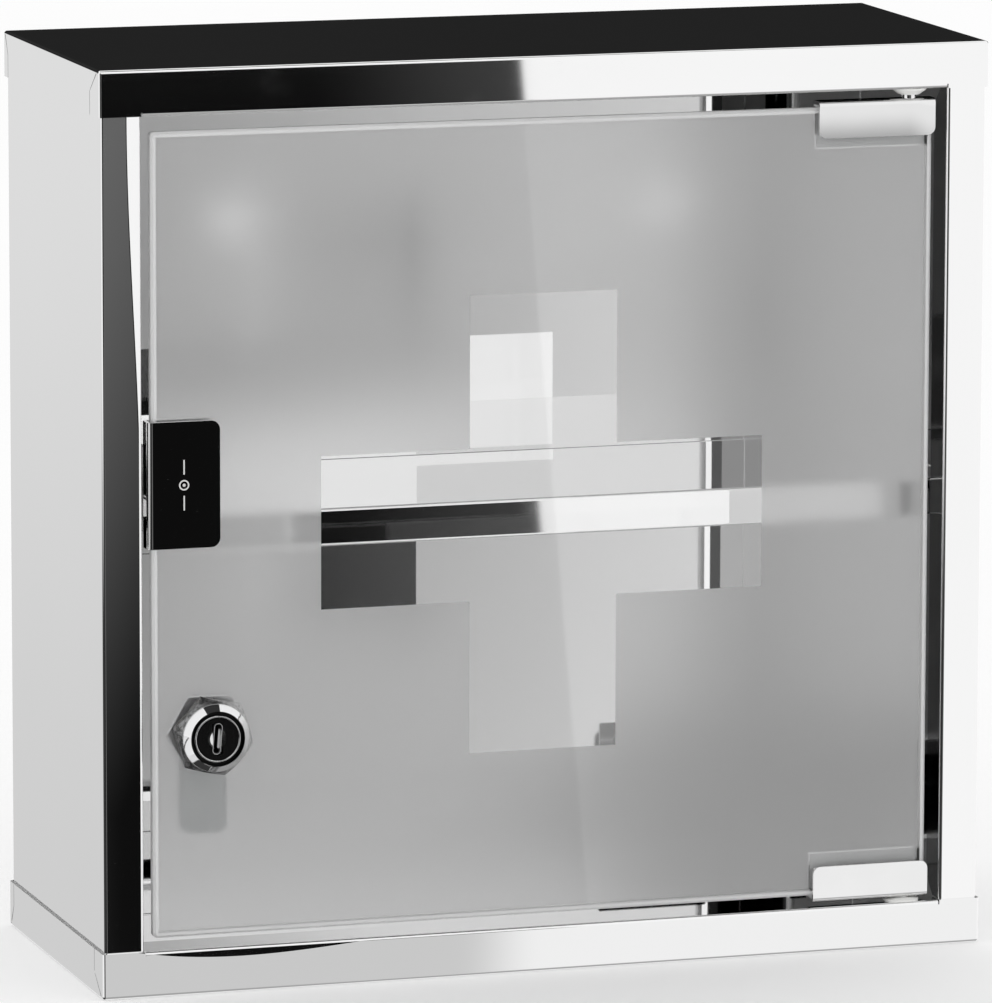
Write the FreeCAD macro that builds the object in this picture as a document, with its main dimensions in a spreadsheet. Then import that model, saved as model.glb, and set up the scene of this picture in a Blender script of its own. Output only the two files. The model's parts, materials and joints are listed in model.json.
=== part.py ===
# Wall-hung medicine cabinet: a carcass of folded stainless sheet with two flanged caps, an inset
# glass door frosted round a clear cross, pivot clips, a cam lock and a push-to-open latch.
# Millimetres. +X is right, +Y is back, +Z is up. The origin is the middle of the base face.

import FreeCAD
import Part
import Sketcher
import math
import os

doc = FreeCAD.newDocument("MedicineCabinet")

# Driving dimensions: name, millimetres, what it measures
driving_dimensions = [
    ("cabinetWidth", 300.0, "width over the caps"),
    ("cabinetDepth", 120.0, "depth over the caps"),
    ("cabinetHeight", 300.0, "height over the caps"),
    ("sheetThickness", 0.8, "stainless sheet of the carcass"),
    ("foldRadius", 1.0, "outside radius of a fold in that sheet"),
    ("capFlange", 15.0, "height of a cap's flanges"),
    ("capLedge", 15.0, "depth of the ledge folded in from a cap's front flange"),
    ("ledgeEndGap", 0.4, "from the ledge's end to the strip's return"),
    ("foldRelief", 0.4, "slit that frees each end of the ledge's fold"),
    ("frontEar", 10.5, "length of the front flange's ear on the side"),
    ("rearEar", 5.5, "length of the back flange's ear on the side"),
    ("seamKnee", 7.5, "height at which a seam turns towards the corner"),
    ("seamWidth", 0.3, "open width of a seam"),
    ("fitGap", 0.5, "hidden sheet ends stay this clear of the caps"),
    ("stripWidth", 14.0, "front strip beside the door, from the cap's side"),
    ("stripReturn", 12.0, "depth of the return behind the strip"),
    ("returnMitre", 6.0, "cut at the free corners of the return"),
    ("rearFlange", 12.0, "flange of the side panel that carries the back"),
    ("wallHoleDiameter", 13.0, "holes that hang the cabinet on the wall"),
    ("wallHoleSpacing", 150.0, "between the two wall holes"),
    ("wallHoleDrop", 65.0, "wall holes below the cabinet's top"),
    ("shelfTop", 152.6, "height of the shelf's top face"),
    ("shelfSetback", 24.0, "from the cabinet's front to the shelf's lip"),
    ("shelfLip", 12.5, "height of the shelf's front lip and side flanges"),
    ("lipReturn", 6.0, "depth of the fold under the lip"),
    ("lipEndGap", 1.4, "from the lip's end to the side panel"),
    ("sideFlangeSetback", 4.0, "side flanges start this far behind the lip"),
    ("doorSideGap", 4.0, "from the glass to the strip at each side"),
    ("doorRecess", 4.0, "glass face behind the cabinet's front"),
    ("glassThickness", 4.0, "door glass"),
    ("glassCornerRadius", 1.5, "corners of the glass"),
    ("arris", 0.8, "ground bevel round the glass"),
    ("frostMargin", 1.8, "clear border round the frosting"),
    ("frostDepth", 0.1, "depth of the etched frosting"),
    ("crossSize", 150.0, "tip to tip of the clear cross"),
    ("crossArm", 50.0, "width of the cross's arms"),
    ("crossHeight", 147.5, "cross centre above the base"),
    ("clipLength", 40.0, "hinge clip along the glass edge"),
    ("clipOverhang", 0.5, "clip past the glass at the side"),
    ("clipThickness", 1.2, "sheet of the hinge clips"),
    ("clipFrontLeg", 12.0, "front leg of a hinge clip"),
    ("clipRearLeg", 16.0, "rear leg of a hinge clip"),
    ("clipFoldRadius", 1.6, "outside radius of a clip's folds"),
    ("clipCornerRadius", 2.6, "free corners of a clip's front leg"),
    ("clipRearCornerRadius", 0.6, "free corners of its rear leg"),
    ("linerThickness", 0.4, "clear liner between clip and glass"),
    ("linerEdge", 1.0, "that liner under the edge of the glass"),
    ("linerInset", 0.6, "liner shorter than the clip at each edge"),
    ("pivotInset", 7.5, "pivot axis in from the edge of the glass"),
    ("pivotDiameter", 5.0, "pivot pin"),
    ("pivotClearance", 0.05, "radial play of the pin in its bush"),
    ("pivotTip", 1.0, "pin past the bush"),
    ("tipChamfer", 0.6, "bevel on the pin's tip"),
    ("bushNeckDiameter", 8.0, "neck of the bush in the ledge"),
    ("bushFlangeDiameter", 9.4, "flange of the bush behind the ledge"),
    ("bushFlangeThickness", 1.0, "thickness of that flange"),
    ("hingeWasherDiameter", 11.6, "domed washer between ledge and clip"),
    ("hingeWasherRim", 0.5, "thickness of its rim"),
    ("hingeWasherCrown", 7.0, "flat of its crown, across"),
    ("hingeWasherRounding", 0.6, "rounding of its crown"),
    ("hingeWasherPlay", 0.3, "from the bottom washer's crown to the clip"),
    ("topWasherHeight", 2.2, "height of the top washer"),
    ("bottomGap", 1.2, "bottom ledge to bottom clip"),
    ("topGap", 3.4, "top clip to top ledge"),
    ("grubDiameter", 4.0, "grub screws of the hinge clips"),
    ("grubLength", 4.0, "length of those screws"),
    ("grubSocket", 1.2, "depth of their hexagon socket"),
    ("grubKey", 2.0, "socket across flats"),
    ("grubSpacing", 24.0, "between the two screws of a clip"),
    ("grubClearance", 0.05, "radial play of a screw in its hole"),
    ("strikeHeight", 41.0, "press plate, top to bottom"),
    ("strikeCentre", 166.0, "press plate's centre above the base"),
    ("strikeLeg", 23.9, "press plate's reach across the glass"),
    ("strikeThickness", 1.2, "sheet of the press plate"),
    ("strikeFoldRadius", 1.6, "outside radius of its folds"),
    ("strikeCornerRadius", 3.0, "free corners of its legs"),
    ("strikePadThickness", 0.5, "pad between press plate and glass"),
    ("lockInset", 19.6, "lock axis in from the edge of the glass"),
    ("lockRise", 65.6, "lock axis above the bottom of the glass"),
    ("barrelDiameter", 18.0, "threaded barrel of the lock"),
    ("barrelPlay", 0.3, "radial gap of the barrel in the glass"),
    ("barrelTail", 2.0, "barrel past its nut"),
    ("lockWasherDiameter", 22.0, "soft washers at the glass"),
    ("lockWasherThickness", 0.5, "thickness of the soft washers"),
    ("bezelAcross", 23.5, "hexagon of the lock head across flats"),
    ("bezelThickness", 4.5, "thickness of that hexagon"),
    ("bezelBevel", 3.4, "height of the cone that takes off that hexagon's corners"),
    ("nutBevel", 0.9, "height of the bevel on the nut's corners"),
    ("ringDiameter", 22.2, "round ring in front of the hexagon"),
    ("ringHeight", 0.5, "straight height of the ring"),
    ("ringBevelHeight", 2.0, "height of the ring's bevel"),
    ("ringFaceDiameter", 18.0, "front edge of the ring's bevel"),
    ("ringEdgeRadius", 0.3, "rounding between the ring's side and its bevel"),
    ("grooveOuterDiameter", 17.7, "dark groove in the lock face, outside"),
    ("grooveInnerDiameter", 15.2, "dark groove in the lock face, inside"),
    ("rimRadius", 0.2, "rounding of the inner rim"),
    ("grooveDepth", 1.4, "depth of that groove"),
    ("sleeveSetback", 0.2, "inner rim behind the ring's face"),
    ("plugDiameter", 14.0, "turning plug"),
    ("plugPlay", 0.05, "radial play of the plug"),
    ("plugSetback", 0.6, "plug face behind the ring's face"),
    ("plugCapThickness", 1.4, "black face ring on the plug"),
    ("bossDiameter", 6.0, "bright boss in the middle of the plug"),
    ("bossSetback", 0.4, "boss behind the black face ring"),
    ("capPlay", 0.1, "radial gap between boss and face ring"),
    ("journalDiameter", 9.0, "rear journal of the plug"),
    ("shoulderDepth", 12.5, "from the glass face back to the plug's shoulder"),
    ("shoulderPlay", 0.1, "end play of the plug"),
    ("keySlotLength", 10.2, "key slot, tip to tip"),
    ("keySlotWidth", 2.8, "width of the key slot"),
    ("keySlotDepth", 11.0, "depth of the key slot"),
    ("nutAcross", 24.0, "lock nut across flats"),
    ("nutThickness", 4.0, "lock nut"),
    ("camThickness", 2.0, "sheet of the cam"),
    ("camWidth", 15.4, "width of the cam"),
    ("camReach", 34.0, "lock axis to the cam's tip"),
    ("camCornerRadius", 3.5, "corners of that tip"),
    ("camSquare", 6.2, "square end of the plug"),
    ("camSquarePlay", 0.1, "gap of the cam on that square"),
    ("camGap", 0.4, "barrel's end to the cam"),
    ("camWasherDiameter", 12.0, "washer under the cam's screw"),
    ("camWasherThickness", 0.8, "thickness of that washer"),
    ("camScrewDiameter", 4.0, "screw that holds the cam"),
    ("camScrewLength", 7.0, "shank of that screw"),
    ("camScrewHead", 7.2, "head of that screw, across"),
    ("camScrewHeadHeight", 2.4, "head of that screw, height"),
    ("screwPlay", 0.05, "radial play of a screw in its hole"),
    ("latchWidth", 16.0, "latch housing, side to side"),
    ("latchHeight", 16.0, "latch housing above the shelf"),
    ("latchLength", 60.0, "latch housing, front to back"),
    ("latchInset", 8.0, "latch axis in from the edge of the glass"),
    ("latchEdgeRadius", 1.5, "long edges of the housing"),
    ("latchNose", 2.4, "head of the plunger"),
    ("latchNoseDiameter", 11.0, "head of the plunger, across"),
    ("latchTravel", 3.6, "room between that head and the housing"),
    ("latchTipGap", 0.3, "magnet to press plate"),
    ("plungerDiameter", 9.0, "shaft of the plunger"),
    ("plungerPlay", 0.1, "radial play of the plunger"),
    ("plungerLength", 30.0, "shaft inside the housing"),
    ("plungerSpigot", 4.0, "spigot that centres the spring, across"),
    ("plungerSpigotLength", 5.0, "length of that spigot"),
    ("plungerBore", 50.0, "depth of the housing's bore"),
    ("magnetDiameter", 8.0, "magnet in the plunger's head"),
    ("magnetThickness", 1.6, "thickness of the magnet"),
    ("magnetPlay", 0.05, "radial gap round the magnet"),
    ("springCoilDiameter", 6.6, "spring, centre of wire to centre of wire"),
    ("springWire", 0.8, "spring wire"),
    ("springEndGap", 0.3, "spring to its seats"),
    ("lugWidth", 10.0, "fixing lug beside the housing"),
    ("lugThickness", 2.4, "thickness of the lug"),
    ("lugLength", 30.0, "length of the lug"),
    ("lugStart", 26.0, "from the housing's front to the lug"),
    ("lugCornerRadius", 3.0, "corners of the lug"),
    ("lugHoleSpacing", 16.0, "between the lug's screws"),
    ("latchScrewDiameter", 3.5, "screws of the latch"),
    ("latchScrewLength", 8.0, "shank of those screws"),
    ("latchScrewHead", 6.6, "head of those screws, across"),
    ("latchScrewHeadHeight", 2.2, "head of those screws, height"),
    ("latchNutAcross", 6.0, "nuts of the latch across flats"),
    ("latchNutThickness", 2.4, "thickness of those nuts"),
    ("screwSlotWidth", 1.0, "driver slot"),
    ("screwSlotDepth", 0.8, "depth of a driver slot"),
    ("overrun", 1.0, "cuts run this far past what they cut"),
]
spring_turns = 6
touching = 0.001
bezel_turn = 47
key_turn = 4.5

sheet = doc.addObject("Spreadsheet::Sheet", "Sizes")
for row, (alias, value, note) in enumerate(driving_dimensions, start=1):
    sheet.set("A%d" % row, alias)
    sheet.set("B%d" % row, str(value))
    sheet.set("C%d" % row, note)
    sheet.setAlias("B%d" % row, alias)
doc.recompute()


# A length and the spreadsheet expression that it comes from, kept together through sums
class Size:
    def __init__(self, value, text):
        self.value = float(value)
        self.text = text

    def joined(self, sign, other, value):
        text = other.text if isinstance(other, Size) else repr(other)
        return Size(value, "(%s %s %s)" % (self.text, sign, text))

    def __float__(self):
        return self.value

    def __add__(self, other):
        return self.joined("+", other, self.value + float(other))

    def __sub__(self, other):
        return self.joined("-", other, self.value - float(other))

    def __mul__(self, factor):
        return self.joined("*", factor, self.value * float(factor))

    def __truediv__(self, factor):
        return self.joined("/", factor, self.value / float(factor))

    def __neg__(self):
        return Size(-self.value, "(-1 * %s)" % self.text)


def size(alias):
    return Size(sheet.get(alias), "Sizes.%s" % alias)


nodes = {}


def bind(item, path, length):
    if isinstance(length, Size):
        item.setExpression(path, length.text)


def vector(x, y, z):
    return FreeCAD.Vector(float(x), float(y), float(z))


def place(item, x, y, z, axis=(0, 0, 1), angle=0):
    item.Placement = FreeCAD.Placement(vector(x, y, z), FreeCAD.Rotation(vector(*axis), angle))
    bind(item, ".Placement.Base.x", x)
    bind(item, ".Placement.Base.y", y)
    bind(item, ".Placement.Base.z", z)


def new_body(name):
    body = doc.addObject("PartDesign::Body", name)
    body.Label = name
    return body


def keep(item):
    nodes[item.Label] = item
    return item


# Sketches stand on the body's own origin planes, and each point is held by two dimensions
def origin_plane(body, role):
    return [item for item in body.Origin.OriginFeatures if item.Role == role][0]


def new_sketch(body, role, offset=0, turn=0):
    sketch = body.newObject("Sketcher::SketchObject", body.Label + "_sketch")
    sketch.AttachmentSupport = [(origin_plane(body, role), "")]
    sketch.MapMode = "FlatFace"
    base = vector(0, 0, offset)
    sketch.AttachmentOffset = FreeCAD.Placement(base, FreeCAD.Rotation(vector(0, 0, 1), turn))
    bind(sketch, ".AttachmentOffset.Base.z", offset)
    return sketch


def hold(sketch, kind, element, point, length):
    axis_of_zero = {"DistanceX": -2, "DistanceY": -1}
    if float(length) == 0:
        constraint = Sketcher.Constraint("PointOnObject", element, point, axis_of_zero[kind])
        sketch.addConstraint(constraint)
        return
    index = sketch.addConstraint(Sketcher.Constraint(kind, -1, 1, element, point, float(length)))
    bind(sketch, "Constraints[%d]" % index, length)


def polygon(sketch, points):
    first = sketch.GeometryCount
    count = len(points)
    for i in range(count):
        start = vector(points[i][0], points[i][1], 0)
        end = vector(points[(i + 1) % count][0], points[(i + 1) % count][1], 0)
        sketch.addGeometry(Part.LineSegment(start, end), False)
    for i in range(count):
        following = first + (i + 1) % count
        sketch.addConstraint(Sketcher.Constraint("Coincident", first + i, 2, following, 1))
    for i in range(count):
        hold(sketch, "DistanceX", first + i, 1, points[i][0])
        hold(sketch, "DistanceY", first + i, 1, points[i][1])


def rectangle(sketch, left, right, low, high):
    polygon(sketch, [(left, low), (right, low), (right, high), (left, high)])


def circle(sketch, x, y, diameter):
    edge = Part.Circle(vector(x, y, 0), vector(0, 0, 1), float(diameter) / 2)
    element = sketch.addGeometry(edge, False)
    hold(sketch, "DistanceX", element, 3, x)
    hold(sketch, "DistanceY", element, 3, y)
    index = sketch.addConstraint(Sketcher.Constraint("Diameter", element, float(diameter)))
    bind(sketch, "Constraints[%d]" % index, diameter)


def hexagon(sketch, across):
    corner = across / math.sqrt(3)
    points = []
    for i in range(6):
        angle = math.radians(60 * i)
        points.append((corner * math.cos(angle), corner * math.sin(angle)))
    polygon(sketch, [(x, y) if i % 3 else (x, 0) for i, (x, y) in enumerate(points)])


# Features
def extruded(body, kind, sketch, length, symmetric=False, reverse=False):
    before = body.Shape.Volume if body.Tip else 0
    feature = body.newObject("PartDesign::" + kind, body.Label + "_" + kind.lower())
    feature.Profile = sketch
    feature.Length = float(length)
    feature.Reversed = reverse
    if symmetric:
        feature.SideType = "Symmetric"
    bind(feature, "Length", length)
    doc.recompute()
    after = feature.Shape.Volume
    if kind == "Pocket" and not after < before:
        raise RuntimeError("the pocket in %s cuts nothing" % body.Label)
    return feature


def pad(body, sketch, length, **options):
    return extruded(body, "Pad", sketch, length, **options)


def pocket(body, sketch, length, **options):
    return extruded(body, "Pocket", sketch, length, **options)


def revolved(body, kind, points):
    sketch = new_sketch(body, "XZ_Plane")
    polygon(sketch, points)
    feature = body.newObject("PartDesign::" + kind, body.Label + "_" + kind.lower())
    feature.Profile = sketch
    feature.ReferenceAxis = (sketch, ["V_Axis"])
    feature.Angle = 360
    doc.recompute()
    return feature


def edges_through(feature, points):
    names = []
    for point in points:
        probe = Part.Vertex(vector(*point))
        for number, edge in enumerate(feature.Shape.Edges, start=1):
            name = "Edge%d" % number
            if name not in names and edge.distToShape(probe)[0] < touching:
                names.append(name)
    return names


def dress(body, kind, amount_name, base, names, amount):
    feature = body.newObject("PartDesign::" + kind, body.Label + "_" + kind.lower())
    feature.Base = (base, names)
    setattr(feature, amount_name, float(amount))
    bind(feature, amount_name, amount)
    doc.recompute()
    return feature


def fillet(body, base, points, radius):
    return dress(body, "Fillet", "Radius", base, edges_through(base, points), radius)


def chamfer(body, base, points, width):
    return dress(body, "Chamfer", "Size", base, edges_through(base, points), width)


def turned(name, points):
    body = new_body(name)
    revolved(body, "Revolution", points)
    return body


def ring(name, outer_diameter, inner_diameter, thickness):
    outer = outer_diameter / 2
    inner = inner_diameter / 2
    return turned(name, [(inner, 0), (outer, 0), (outer, thickness), (inner, thickness)])


def together(name, bodies):
    group = doc.addObject("Part::Compound", name)
    group.Label = name
    group.Links = bodies
    return keep(group)


# Shared sizes of the carcass
t = size("sheetThickness")
fold = size("foldRadius")
inner_fold = fold - t
overrun = size("overrun")
fit_gap = size("fitGap")
height = size("cabinetHeight")
half_width = size("cabinetWidth") / 2
front = -size("cabinetDepth") / 2
back = size("cabinetDepth") / 2
flange = size("capFlange")
strip_edge = half_width - size("stripWidth")
wall_outside = half_width - t
wall_inside = wall_outside - t

# Shared sizes of the door
glass_half = strip_edge - size("doorSideGap")
glass_front = front + size("doorRecess")
glass_back = glass_front + size("glassThickness")
clip_base = flange + size("bottomGap")
clip_top = height - flange - size("topGap")
clip_web = size("clipThickness") + size("linerEdge")
glass_bottom = clip_base + clip_web
glass_top = clip_top - clip_web
pivot_x = glass_half - size("pivotInset")
pivot_y = glass_front + size("glassThickness") / 2


# A cap: a pan with flanges, whose front and back flanges wrap the corners as ears. The cuts
# between ears and side flanges run up each side and turn to the corner. The front flange
# folds in again, between two relief slits, as the ledge that carries the door's pivot.
def cap(name, bush_x):
    body = new_body(name)
    outline = new_sketch(body, "XY_Plane")
    rectangle(outline, -half_width, half_width, front, back)
    block = pad(body, outline, flange)
    corners = [(x, y, flange / 2) for x in (-half_width, half_width) for y in (front, back)]
    rounded = fillet(body, block, corners, fold)
    rims = [(0, front, 0), (0, back, 0), (-half_width, 0, 0), (half_width, 0, 0)]
    rounded = fillet(body, rounded, rims, fold)
    open_side = []
    for number, face in enumerate(rounded.Shape.Faces, start=1):
        if abs(face.CenterOfMass.z - float(flange)) < touching:
            open_side.append("Face%d" % number)
    pan = body.newObject("PartDesign::Thickness", name + "_pan")
    pan.Base = (rounded, open_side)
    pan.Value = float(t)
    pan.Reversed = True
    bind(pan, "Value", t)
    doc.recompute()

    ledge_half = strip_edge - size("ledgeEndGap")
    notch_half = ledge_half + size("foldRelief")
    notch_low = flange - fold - size("foldRelief")
    notch = new_sketch(body, "XZ_Plane", -front)
    rectangle(notch, -notch_half, notch_half, notch_low, flange + overrun)
    pocket(body, notch, t + overrun)
    ledge_end = front + size("capLedge")
    profile = new_sketch(body, "YZ_Plane")
    polygon(profile, [(front, notch_low), (front, flange), (ledge_end, flange), (ledge_end, flange - t),
                      (front + t, flange - t), (front + t, notch_low)])
    ledge = pad(body, profile, ledge_half * 2, symmetric=True)
    rounded = fillet(body, ledge, [(0, front, flange)], fold)
    fillet(body, rounded, [(0, front + t, flange - t)], inner_fold)

    bush_hole = new_sketch(body, "XY_Plane", flange)
    circle(bush_hole, bush_x, pivot_y, size("bushNeckDiameter") + size("pivotClearance") * 2)
    pocket(body, bush_hole, t + overrun)

    seam = size("seamWidth")
    knee = size("seamKnee")
    top = flange + overrun
    front_line = front + size("frontEar")
    front_tip = front + fold * 2
    rear_line = back - size("rearEar")
    rear_tip = back - fold * 2
    seams = new_sketch(body, "YZ_Plane", half_width)
    polygon(seams, [(front_line, top), (front_line, knee), (front_tip, fold),
                    (front_tip + seam * 2, fold), (front_line + seam, knee), (front_line + seam, top)])
    polygon(seams, [(rear_line, top), (rear_line, knee), (rear_tip, fold),
                    (rear_tip - seam * 2, fold), (rear_line - seam, knee), (rear_line - seam, top)])
    seam_cut = pocket(body, seams, t + overrun)
    mirrored = body.newObject("PartDesign::Mirrored", name + "_other_side")
    mirrored.Originals = [seam_cut]
    mirrored.MirrorPlane = (origin_plane(body, "YZ_Plane"), [""])
    body.Tip = mirrored
    doc.recompute()
    return keep(body)


cap("bottom_cap", pivot_x)
top_cap = cap("top_cap", -pivot_x)
place(top_cap, 0, 0, height, (0, 1, 0), 180)


# A side panel: one folded sheet with the front strip, its return, the wall and a rear flange
def side_panel(name, side):
    body = new_body(name)
    strip_front = front + t
    return_back = strip_front + size("stripReturn")
    rear = back - t * 2
    flange_end = wall_outside - size("rearFlange")
    low = t + fit_gap
    high = height - t - fit_gap
    outline = new_sketch(body, "XY_Plane", low)
    path = [
        (strip_edge, return_back), (strip_edge, strip_front), (wall_outside, strip_front),
        (wall_outside, rear), (flange_end, rear), (flange_end, rear - t), (wall_inside, rear - t),
        (wall_inside, strip_front + t), (strip_edge + t, strip_front + t), (strip_edge + t, return_back),
    ]
    polygon(outline, [(x * side, y) for x, y in path])
    sheet_pad = pad(body, outline, high - low)
    middle = height / 2
    outer_folds = [(strip_edge, strip_front), (wall_outside, strip_front), (wall_outside, rear)]
    inner_folds = [(strip_edge + t, strip_front + t), (wall_inside, strip_front + t), (wall_inside, rear - t)]
    rounded = fillet(body, sheet_pad, [(x * side, y, middle) for x, y in outer_folds], fold)
    fillet(body, rounded, [(x * side, y, middle) for x, y in inner_folds], inner_fold)

    start = strip_front + fold
    past = return_back + overrun
    mitre = size("returnMitre")
    cut_line = flange + size("ledgeEndGap")
    ends = new_sketch(body, "YZ_Plane", (strip_edge - overrun) * side)
    polygon(ends, [(start, 0), (past, 0), (past, cut_line + mitre + overrun),
                   (return_back - mitre, cut_line), (start, cut_line)])
    polygon(ends, [(start, height), (past, height), (past, height - cut_line - mitre - overrun),
                   (return_back - mitre, height - cut_line), (start, height - cut_line)])
    pocket(body, ends, overrun * 2 + t, reverse=side > 0)
    return keep(body)


side_panel("left_side_panel", -1)
side_panel("right_side_panel", 1)


# The back panel, with two holes that hang the cabinet on the wall
def back_panel():
    body = new_body("back_panel")
    half = wall_outside - fit_gap
    low = t + fit_gap
    outline = new_sketch(body, "XZ_Plane", t * 2 - back)
    rectangle(outline, -half, half, low, height - low)
    pad(body, outline, t, reverse=True)
    holes = new_sketch(body, "XZ_Plane", t * 2 - back)
    for across in (-1, 1):
        x = size("wallHoleSpacing") / 2 * across
        circle(holes, x, height - size("wallHoleDrop"), size("wallHoleDiameter"))
    pocket(body, holes, t + overrun)
    return keep(body)


back_panel()

# Places that the shelf and the latch on it share
shelf_top = size("shelfTop")
latch_x = -(glass_half - size("latchInset"))
strike_back = glass_back + size("strikePadThickness") + size("strikeThickness")
plunger_tip = strike_back + size("latchTipGap")
latch_front = plunger_tip + size("latchNose") + size("latchTravel")
latch_z = shelf_top + size("latchHeight") / 2
lug_middle_x = latch_x + size("latchWidth") / 2 + size("lugWidth") / 2
lug_middle_y = latch_front + size("lugStart") + size("lugLength") / 2
latch_screw_places = [
    (lug_middle_x, lug_middle_y - size("lugHoleSpacing") / 2),
    (lug_middle_x, lug_middle_y + size("lugHoleSpacing") / 2),
]
latch_hole = size("latchScrewDiameter") + size("screwPlay") * 2


# The shelf: a pan turned over, with a front lip that folds under
def shelf():
    body = new_body("shelf")
    lip_front = front + size("shelfSetback")
    lip_low = shelf_top - size("shelfLip")
    lip_end = lip_front + size("lipReturn")
    rear = back - t * 3
    lip_half = wall_inside - size("lipEndGap")
    profile = new_sketch(body, "YZ_Plane")
    polygon(profile, [(lip_front, lip_low), (lip_front, shelf_top), (rear, shelf_top),
                      (rear, shelf_top - t), (lip_front + t, shelf_top - t),
                      (lip_front + t, lip_low + t), (lip_end, lip_low + t), (lip_end, lip_low)])
    deck = pad(body, profile, lip_half * 2, symmetric=True)
    middle = (lip_front + rear) / 2
    outer_folds = [(0, lip_front, shelf_top), (0, lip_front, lip_low)]
    inner_folds = [(0, lip_front + t, shelf_top - t), (0, lip_front + t, lip_low + t)]
    rounded = fillet(body, deck, outer_folds, fold)
    fillet(body, rounded, inner_folds, inner_fold)

    flange_start = lip_front + size("sideFlangeSetback")
    flange_end = rear - fold
    channel = new_sketch(body, "XZ_Plane", -flange_end)
    polygon(channel, [(-wall_inside, lip_low), (-wall_inside, shelf_top), (wall_inside, shelf_top),
                      (wall_inside, lip_low), (wall_inside - t, lip_low), (wall_inside - t, shelf_top - t),
                      (t - wall_inside, shelf_top - t), (t - wall_inside, lip_low)])
    sides = pad(body, channel, flange_end - flange_start)
    fillet(body, sides, [(wall_inside, middle, shelf_top), (-wall_inside, middle, shelf_top)], fold)

    holes = new_sketch(body, "XY_Plane", shelf_top)
    for x, y in latch_screw_places:
        circle(holes, x, y, latch_hole)
    pocket(body, holes, t + overrun)
    return keep(body)


shelf()


# The door glass: ground edges, a hole for the lock, and frosting etched into its back all
# round a clear cross, which stands proud of the etched face by the etching's depth
lock_x = size("lockInset") - glass_half
lock_z = glass_bottom + size("lockRise")
rear_face = -glass_back


def glass_door():
    body = new_body("glass_door")
    outline = new_sketch(body, "XZ_Plane", rear_face)
    rectangle(outline, -glass_half, glass_half, glass_bottom, glass_top)
    pane = pad(body, outline, size("glassThickness"))
    corners = [(x, pivot_y, z) for x in (-glass_half, glass_half) for z in (glass_bottom, glass_top)]
    rounded = fillet(body, pane, corners, size("glassCornerRadius"))
    rims = [(0, y, z) for y in (glass_front, glass_back) for z in (glass_bottom, glass_top)]
    for y in (glass_front, glass_back):
        for x in (-glass_half, glass_half):
            rims.append((x, y, height / 2))
    chamfer(body, rounded, rims, size("arris"))

    lock_hole = new_sketch(body, "XZ_Plane", rear_face)
    circle(lock_hole, lock_x, lock_z, size("barrelDiameter") + size("barrelPlay") * 2)
    pocket(body, lock_hole, size("glassThickness") + overrun, reverse=True)

    margin = size("frostMargin")
    tip = size("crossSize") / 2
    arm = size("crossArm") / 2
    middle = size("crossHeight")
    frosting = new_sketch(body, "XZ_Plane", rear_face)
    rectangle(frosting, margin - glass_half, glass_half - margin, glass_bottom + margin, glass_top - margin)
    polygon(frosting, [(-arm, middle + tip), (-arm, middle + arm), (-tip, middle + arm),
                       (-tip, middle - arm), (-arm, middle - arm), (-arm, middle - tip),
                       (arm, middle - tip), (arm, middle - arm), (tip, middle - arm),
                       (tip, middle + arm), (arm, middle + arm), (arm, middle + tip)])
    pocket(body, frosting, size("frostDepth"), reverse=True)
    return keep(body)


glass_door()

# Hinge clips: channels over the edge of the glass, made about the pivot axis. Each is a mirror
# image of the other, so up is 1 for the bottom clip and -1 for the top one.
glass_middle = size("glassThickness") / 2
clip_start = size("pivotInset") + size("clipOverhang") - size("clipLength")
clip_end = size("pivotInset") + size("clipOverhang")
clip_middle = (clip_start + clip_end) / 2
grub_height = (size("clipRearLeg") + clip_web) / 2


def hinge_clip(name, z, up):
    body = new_body(name)
    wall = size("clipThickness")
    gap = glass_middle + size("linerThickness")
    out = gap + wall
    front_leg = size("clipFrontLeg")
    rear_leg = size("clipRearLeg")
    bend = size("clipFoldRadius")
    profile = new_sketch(body, "YZ_Plane", clip_start)
    path = [(-out, front_leg * up), (-out, 0), (out, 0), (out, rear_leg * up), (gap, rear_leg * up),
            (gap, wall * up), (-gap, wall * up), (-gap, front_leg * up)]
    polygon(profile, path)
    strip = pad(body, profile, size("clipLength"))
    rounded = fillet(body, strip, [(clip_middle, -out, 0), (clip_middle, out, 0)], bend)
    inside = [(clip_middle, -gap, wall * up), (clip_middle, gap, wall * up)]
    rounded = fillet(body, rounded, inside, bend - wall)
    front_tips = [(x, -gap - wall / 2, front_leg * up) for x in (clip_start, clip_end)]
    rounded = fillet(body, rounded, front_tips, size("clipCornerRadius"))
    rear_tips = [(x, gap + wall / 2, rear_leg * up) for x in (clip_start, clip_end)]
    fillet(body, rounded, rear_tips, size("clipRearCornerRadius"))

    pin_hole = new_sketch(body, "XY_Plane")
    circle(pin_hole, 0, 0, size("pivotDiameter"))
    pocket(body, pin_hole, (wall + overrun) * 2, symmetric=True)

    grub_holes = new_sketch(body, "XZ_Plane")
    for side in (-1, 1):
        x = clip_middle + size("grubSpacing") / 2 * side
        circle(grub_holes, x, grub_height * up, size("grubDiameter") + size("grubClearance") * 2)
    pocket(body, grub_holes, out + overrun)
    place(body, pivot_x, pivot_y, z)
    return keep(body)


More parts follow.
